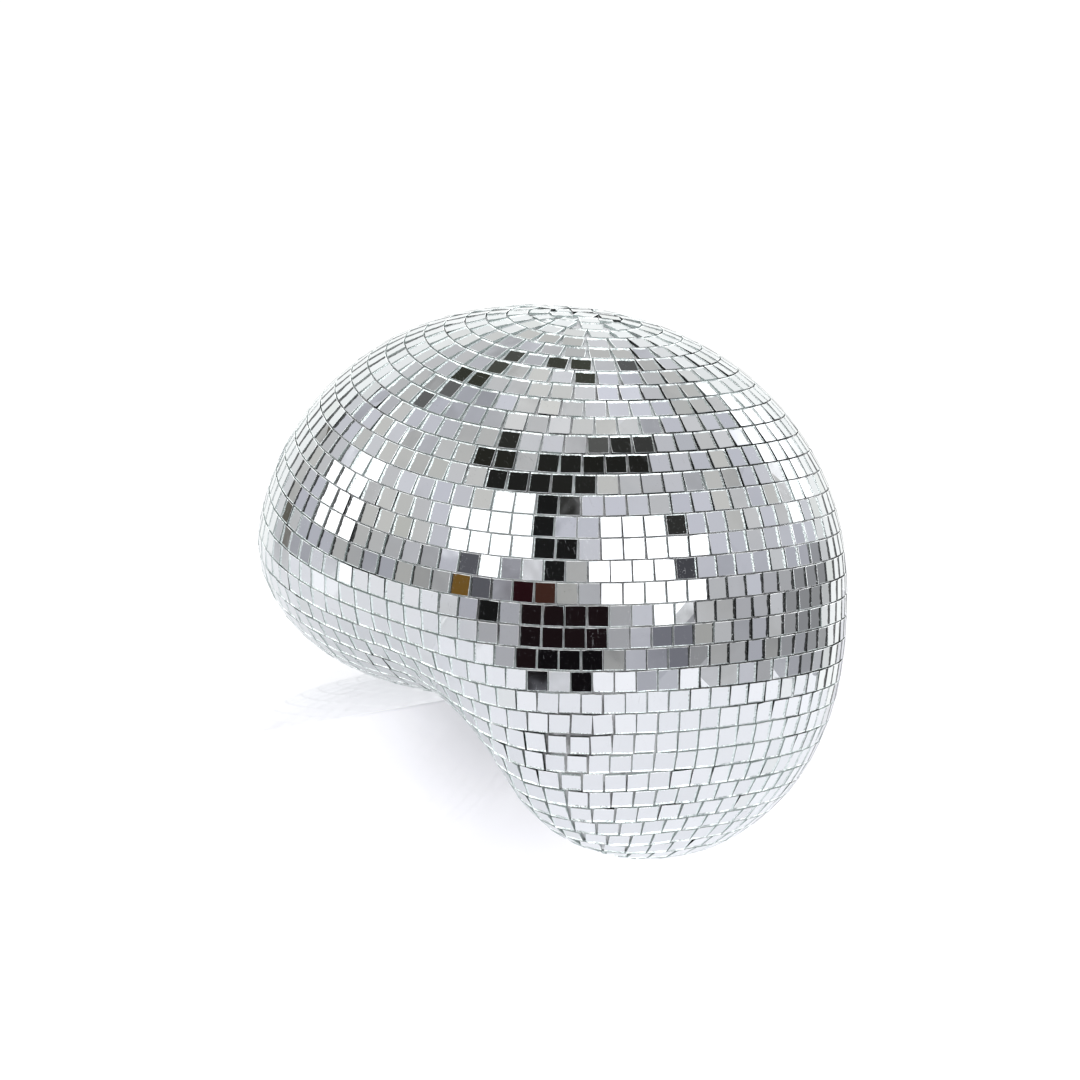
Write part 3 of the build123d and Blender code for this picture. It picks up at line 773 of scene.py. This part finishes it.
# ------------------------------------------------------------------ the room in the mirrors
# Rectangles of directions, in degrees, painted in this order:
# azimuth (from +Y towards +X), half width, low, high, colour, softness
ROOM_LAYERS = [
    (110, 22, -14, 3, (0.30, 0.30, 0.31), 4.0),
    (-48, 28, -18, -5, (0.28, 0.28, 0.27), 3.0),
    (-167, 10, -15, -6, (0.20, 0.20, 0.23), 2.5),
    (52, 46, -30, 38, (1.05, 1.06, 1.06), 7.0),       # white backdrop behind the object
    (0.5, 2.2, -8, 24, (0.13, 0.12, 0.10), 1.2),      # stand at the backdrop's edge
    (-153.5, 23, -4, 34, (2.1, 2.1, 2.15), 0.8),      # key softbox
    (-93, 13, 10, 30, (2.1, 2.1, 2.15), 0.8),         # second softbox
    (-98.5, 4, 34, 41, (1.5, 1.5, 1.5), 0.8),
    (-31, 12, 11, 31.5, (2.1, 2.1, 2.12), 1.0),       # third softbox
    (96, 16, 13, 40, (2.1, 2.1, 2.15), 1.0),          # softbox towards +X
    (-152, 23, 53, 64, (0.018, 0.018, 0.016), 0.8),   # dark rails and boards on the ceiling
    (-166, 6, 64, 73, (0.028, 0.028, 0.026), 0.8),
    (-144, 6, 65, 71, (0.110, 0.110, 0.105), 0.8),
    (-112, 12, 51, 60, (0.020, 0.020, 0.018), 0.8),
    (-84, 9, 48, 57, (0.022, 0.022, 0.018), 0.8),
    (-80, 6, 57, 65, (0.032, 0.032, 0.028), 0.8),
    (-96, 18, 42, 50.5, (0.017, 0.017, 0.016), 0.8),
    (-125, 12, 41.5, 51, (0.022, 0.022, 0.020), 0.8),
    (-116, 7, 34, 46, (0.020, 0.020, 0.018), 0.8),
    (-172, 4, 27, 35, (0.035, 0.035, 0.033), 0.8),
    (0, 5, 54, 66, (0.045, 0.047, 0.036), 0.8),
    (12, 8, 60, 67, (0.075, 0.078, 0.066), 0.8),
    (48, 15, 62.5, 70, (0.060, 0.062, 0.050), 0.8),
    (29, 6, 51, 58, (0.085, 0.088, 0.078), 0.8),
    (72, 6, 53, 60, (0.12, 0.12, 0.12), 0.8),
    (177, 7, 61, 69, (0.050, 0.050, 0.048), 0.8),
    (-16, 5, 49, 61, (0.14, 0.14, 0.14), 0.8),
    (-115, 4.0, -8, 41, (0.012, 0.012, 0.012), 0.5),  # light stand
    (-88.5, 2.2, -3, 14, (0.11, 0.11, 0.125), 0.8),
    (-171, 2.5, 3, 15, (0.07, 0.07, 0.080), 0.8),
    (-124, 20, -15.8, -9.0, (0.006, 0.005, 0.006), 0.7),  # dark cloth round the camera
    (-121, 17, -11, -2, (0.012, 0.007, 0.008), 1.0),
    (-109, 10, -4, 8, (0.022, 0.006, 0.008), 1.2),
    (-114, 4.5, -0.5, 6, (0.055, 0.022, 0.016), 1.5),
    (-94, 4.5, -8, 0, (0.010, 0.010, 0.010), 1.0),
    (-83, 3.6, -0.5, 7, (0.175, 0.095, 0.022), 0.6),  # small brown case
]


def window(tree, azimuth, elevation, middle, half, low, high, soft):
    """1 inside a rectangle of directions, in degrees."""
    turn = tree.math("WRAP", tree.math("SUBTRACT", azimuth, middle), 180.0, -180.0)
    inside = tree.ramp(tree.math("ABSOLUTE", turn), over=(half - soft, half + soft), to=(1.0, 0.0))
    above = tree.ramp(elevation, over=(low - soft, low + soft))
    below = tree.ramp(elevation, over=(high - soft, high + soft), to=(1.0, 0.0))
    return tree.mul(inside, tree.mul(above, below))


def wall_colour(tree, direction, elevation):
    """Grey by height, cool panels and warm plaster, and blurred fittings."""
    grey = tree.ramp(elevation, over=(-6.0, 24.0), to=(0.46, 0.66))
    grey = tree.math("SUBTRACT", grey, tree.ramp(elevation, over=(40.0, 56.0), to=(0.0, 0.05)))
    grey = tree.add(grey, tree.ramp(elevation, over=(62.0, 74.0), to=(0.0, 0.16)))
    colour = tree.fill(tree.node("CombineXYZ"), {0: grey, 1: grey, 2: grey})[0]
    tone = tree.ramp(tree.noise(direction, scale=2.6, detail=1.0, rough=0.5), over=(0.40, 0.60))
    tint = tree.mix(tone, rgb(0.97, 0.955, 0.92), rgb(0.98, 0.98, 1.08))
    colour = tree.mix(1.0, colour, tint, blend="MULTIPLY")
    dark = tree.noise(direction, scale=11.0, detail=3.0, rough=0.6)
    colour = tree.mix(tree.ramp(dark, over=(0.50, 0.72), to=(0.0, 0.60)),
                      colour, rgb(0.25, 0.25, 0.26))
    pale = tree.noise(direction, scale=7.0, detail=2.0, rough=0.5)
    return tree.mix(tree.ramp(pale, over=(0.52, 0.70), to=(0.0, 0.50)),
                    colour, rgb(0.86, 0.86, 0.92))


def build_world():
    """The mirrors see the room; the camera sees plain white."""
    world = bpy.data.worlds.new("studio")
    bpy.context.scene.world = world
    world.use_nodes = True
    tree = Tree(world.node_tree)
    output = tree.node("OutputWorld")
    direction = tree.node("TexCoord").outputs["Generated"]
    x, y, z = tree.split(direction)
    azimuth = tree.mul(tree.math("ARCTAN2", x, y), 180 / math.pi)
    elevation = tree.mul(tree.math("ARCSINE", z), 180 / math.pi)
    colour = wall_colour(tree, direction, elevation)
    for middle, half, low, high, paint, soft in ROOM_LAYERS:
        area = window(tree, azimuth, elevation, middle, half, low, high, soft)
        colour = tree.mix(area, colour, rgb(*paint))
    # below the horizon the room is the pale floor
    colour = tree.mix(tree.ramp(elevation, over=(-19.0, -16.6), to=(1.0, 0.0)),
                      colour, rgb(0.92, 0.92, 0.97))
    room = tree.fill(tree.node("Background"), {0: colour})[0]
    white = tree.fill(tree.node("Background"), {0: rgb(1.0, 1.0, 1.0), 1: 1.05})[0]
    seen = tree.node("LightPath").outputs["Is Camera Ray"]
    tree.fill(output, {0: tree.fill(tree.node("MixShader"), {0: seen, 1: room, 2: white})[0]})
    world.cycles.sampling_method = "MANUAL"
    world.cycles.sample_map_resolution = 1024


build_world()

# ------------------------------------------------------------------ the camera
HEADING, DIP = math.radians(47.73), math.radians(7.643)   # from +Y towards +X; below level
SHIFT_RIGHT, SHIFT_UP, DISTANCE = 5.65 * MM, 69.92 * MM, 2588.2 * MM


def build_camera():
    forward = Vector((math.sin(HEADING) * math.cos(DIP), math.cos(HEADING) * math.cos(DIP),
                      -math.sin(DIP)))
    right = Vector((math.cos(HEADING), -math.sin(HEADING), 0.0))
    up = right.cross(forward)
    camera = bpy.data.cameras.new("camera")
    camera.sensor_width = 36.0
    camera.lens = 171.9
    camera.clip_start, camera.clip_end = 0.05, 50.0
    item = add_object("camera", camera)
    item.location = right * SHIFT_RIGHT + up * SHIFT_UP - forward * DISTANCE
    item.rotation_mode = "QUATERNION"
    item.rotation_quaternion = forward.to_track_quat("-Z", "Y")
    bpy.context.scene.camera = item


build_camera()
bpy.context.scene.view_settings.view_transform = "Standard"
bpy.context.scene.view_settings.look = "None"
